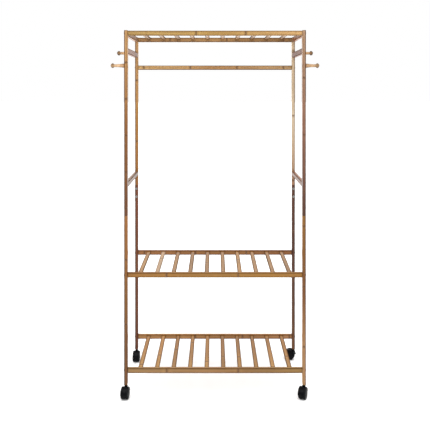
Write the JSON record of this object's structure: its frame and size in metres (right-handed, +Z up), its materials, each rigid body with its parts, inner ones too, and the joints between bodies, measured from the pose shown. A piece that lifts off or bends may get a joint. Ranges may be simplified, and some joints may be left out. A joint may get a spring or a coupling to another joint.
{
  "type": "rolling clothes rack",
  "caption": "Upright bamboo garment rack on swivelling casters, with slatted shelves, a hanging rod between the rear posts and turned coat pegs on both sides.",
  "frame": {"origin": "on the floor, under the middle of the rack's footprint", "axes": "+Z up; the front faces -Y; +X is to the right of someone facing the rack"},
  "size_m": [0.94, 0.4501, 1.65],
  "materials": {
    "bamboo_post": "satin lacquer",
    "bamboo_rail": "satin lacquer",
    "bamboo_slat": "satin lacquer",
    "bamboo_rod": "satin lacquer",
    "peg_wood": "satin lacquer",
    "dowel_wood": "raw beech",
    "zinc_steel": "zinc plated",
    "caster_plastic": "moulded, lightly textured",
    "wheel_plastic": "moulded, smooth tread"
  },
  "bodies": {
    "rack_frame": {"post_front_left_lower": "bamboo_post", "post_front_left_upper": "bamboo_post", "post_front_right_lower": "bamboo_post", "post_front_right_upper": "bamboo_post", "post_rear_left_lower": "bamboo_post", "post_rear_left_upper": "bamboo_post", "post_rear_right_lower": "bamboo_post", "post_rear_right_upper": "bamboo_post", "top_front_rail": "bamboo_rail", "top_rear_rail": "bamboo_rail", "top_shelf_slats": "bamboo_slat", "middle_front_rail": "bamboo_rail", "middle_rear_rail": "bamboo_rail", "middle_shelf_slats": "bamboo_slat", "bottom_front_rail": "bamboo_rail", "bottom_rear_rail": "bamboo_rail", "bottom_shelf_slats": "bamboo_slat", "top_side_rail_left": "bamboo_rail", "middle_side_rail_left": "bamboo_rail", "peg_board_left": "bamboo_rail", "top_side_rail_right": "bamboo_rail", "middle_side_rail_right": "bamboo_rail", "peg_board_right": "bamboo_rail", "hanging_rod": "bamboo_rod", "front_coat_peg_left": "peg_wood", "board_coat_peg_left": "peg_wood", "front_coat_peg_right": "peg_wood", "board_coat_peg_right": "peg_wood", "rail_bolts": "zinc_steel", "rail_barrel_nuts": "zinc_steel", "rod_bolts": "zinc_steel", "rod_inserts": "zinc_steel", "splice_bolts": "zinc_steel", "splice_inserts": "zinc_steel", "peg_screws": "zinc_steel", "side_dowels": "dowel_wood", "caster_sockets": "zinc_steel"},
    "caster_front_left": {"caster_hood_front_left": "caster_plastic", "caster_stem_front_left": "zinc_steel", "caster_axle_front_left": "zinc_steel"},
    "wheel_a_front_left": {"caster_wheel_a_front_left": "wheel_plastic"},
    "wheel_b_front_left": {"caster_wheel_b_front_left": "wheel_plastic"},
    "caster_front_right": {"caster_hood_front_right": "caster_plastic", "caster_stem_front_right": "zinc_steel", "caster_axle_front_right": "zinc_steel"},
    "wheel_a_front_right": {"caster_wheel_a_front_right": "wheel_plastic"},
    "wheel_b_front_right": {"caster_wheel_b_front_right": "wheel_plastic"},
    "caster_rear_left": {"caster_hood_rear_left": "caster_plastic", "caster_stem_rear_left": "zinc_steel", "caster_axle_rear_left": "zinc_steel"},
    "wheel_a_rear_left": {"caster_wheel_a_rear_left": "wheel_plastic"},
    "wheel_b_rear_left": {"caster_wheel_b_rear_left": "wheel_plastic"},
    "caster_rear_right": {"caster_hood_rear_right": "caster_plastic", "caster_stem_rear_right": "zinc_steel", "caster_axle_rear_right": "zinc_steel"},
    "wheel_a_rear_right": {"caster_wheel_a_rear_right": "wheel_plastic"},
    "wheel_b_rear_right": {"caster_wheel_b_rear_right": "wheel_plastic"}
  },
  "joints": [
    {"name": "swivel_front_left", "type": "hinge", "parent": "rack_frame", "child": "caster_front_left", "pos_m": [-0.4005, -0.185, 0.055], "axis": [0, 0, 1], "continuous": true},
    {"name": "spin_a_front_left", "type": "hinge", "parent": "caster_front_left", "child": "wheel_a_front_left", "pos_m": [-0.40238, -0.2029, 0.023], "axis": [0.9945, -0.1045, 0], "continuous": true},
    {"name": "spin_b_front_left", "type": "hinge", "parent": "caster_front_left", "child": "wheel_b_front_left", "pos_m": [-0.40238, -0.2029, 0.023], "axis": [0.9945, -0.1045, 0], "continuous": true},
    {"name": "swivel_front_right", "type": "hinge", "parent": "rack_frame", "child": "caster_front_right", "pos_m": [0.4005, -0.185, 0.055], "axis": [0, 0, 1], "continuous": true},
    {"name": "spin_a_front_right", "type": "hinge", "parent": "caster_front_right", "child": "wheel_a_front_right", "pos_m": [0.39318, -0.20144, 0.023], "axis": [0.9135, -0.4067, 0], "continuous": true},
    {"name": "spin_b_front_right", "type": "hinge", "parent": "caster_front_right", "child": "wheel_b_front_right", "pos_m": [0.39318, -0.20144, 0.023], "axis": [0.9135, -0.4067, 0], "continuous": true},
    {"name": "swivel_rear_left", "type": "hinge", "parent": "rack_frame", "child": "caster_rear_left", "pos_m": [-0.4005, 0.185, 0.055], "axis": [0, 0, 1], "continuous": true},
    {"name": "spin_a_rear_left", "type": "hinge", "parent": "caster_rear_left", "child": "wheel_a_rear_left", "pos_m": [-0.4005, 0.167, 0.023], "axis": [1, 0, 0], "continuous": true},
    {"name": "spin_b_rear_left", "type": "hinge", "parent": "caster_rear_left", "child": "wheel_b_rear_left", "pos_m": [-0.4005, 0.167, 0.023], "axis": [1, 0, 0], "continuous": true},
    {"name": "swivel_rear_right", "type": "hinge", "parent": "rack_frame", "child": "caster_rear_right", "pos_m": [0.4005, 0.185, 0.055], "axis": [0, 0, 1], "continuous": true},
    {"name": "spin_a_rear_right", "type": "hinge", "parent": "caster_rear_right", "child": "wheel_a_rear_right", "pos_m": [0.38381, 0.19174, 0.023], "axis": [-0.3746, -0.9272, 0], "continuous": true},
    {"name": "spin_b_rear_right", "type": "hinge", "parent": "caster_rear_right", "child": "wheel_b_rear_right", "pos_m": [0.38381, 0.19174, 0.023], "axis": [-0.3746, -0.9272, 0], "continuous": true}
  ]
}
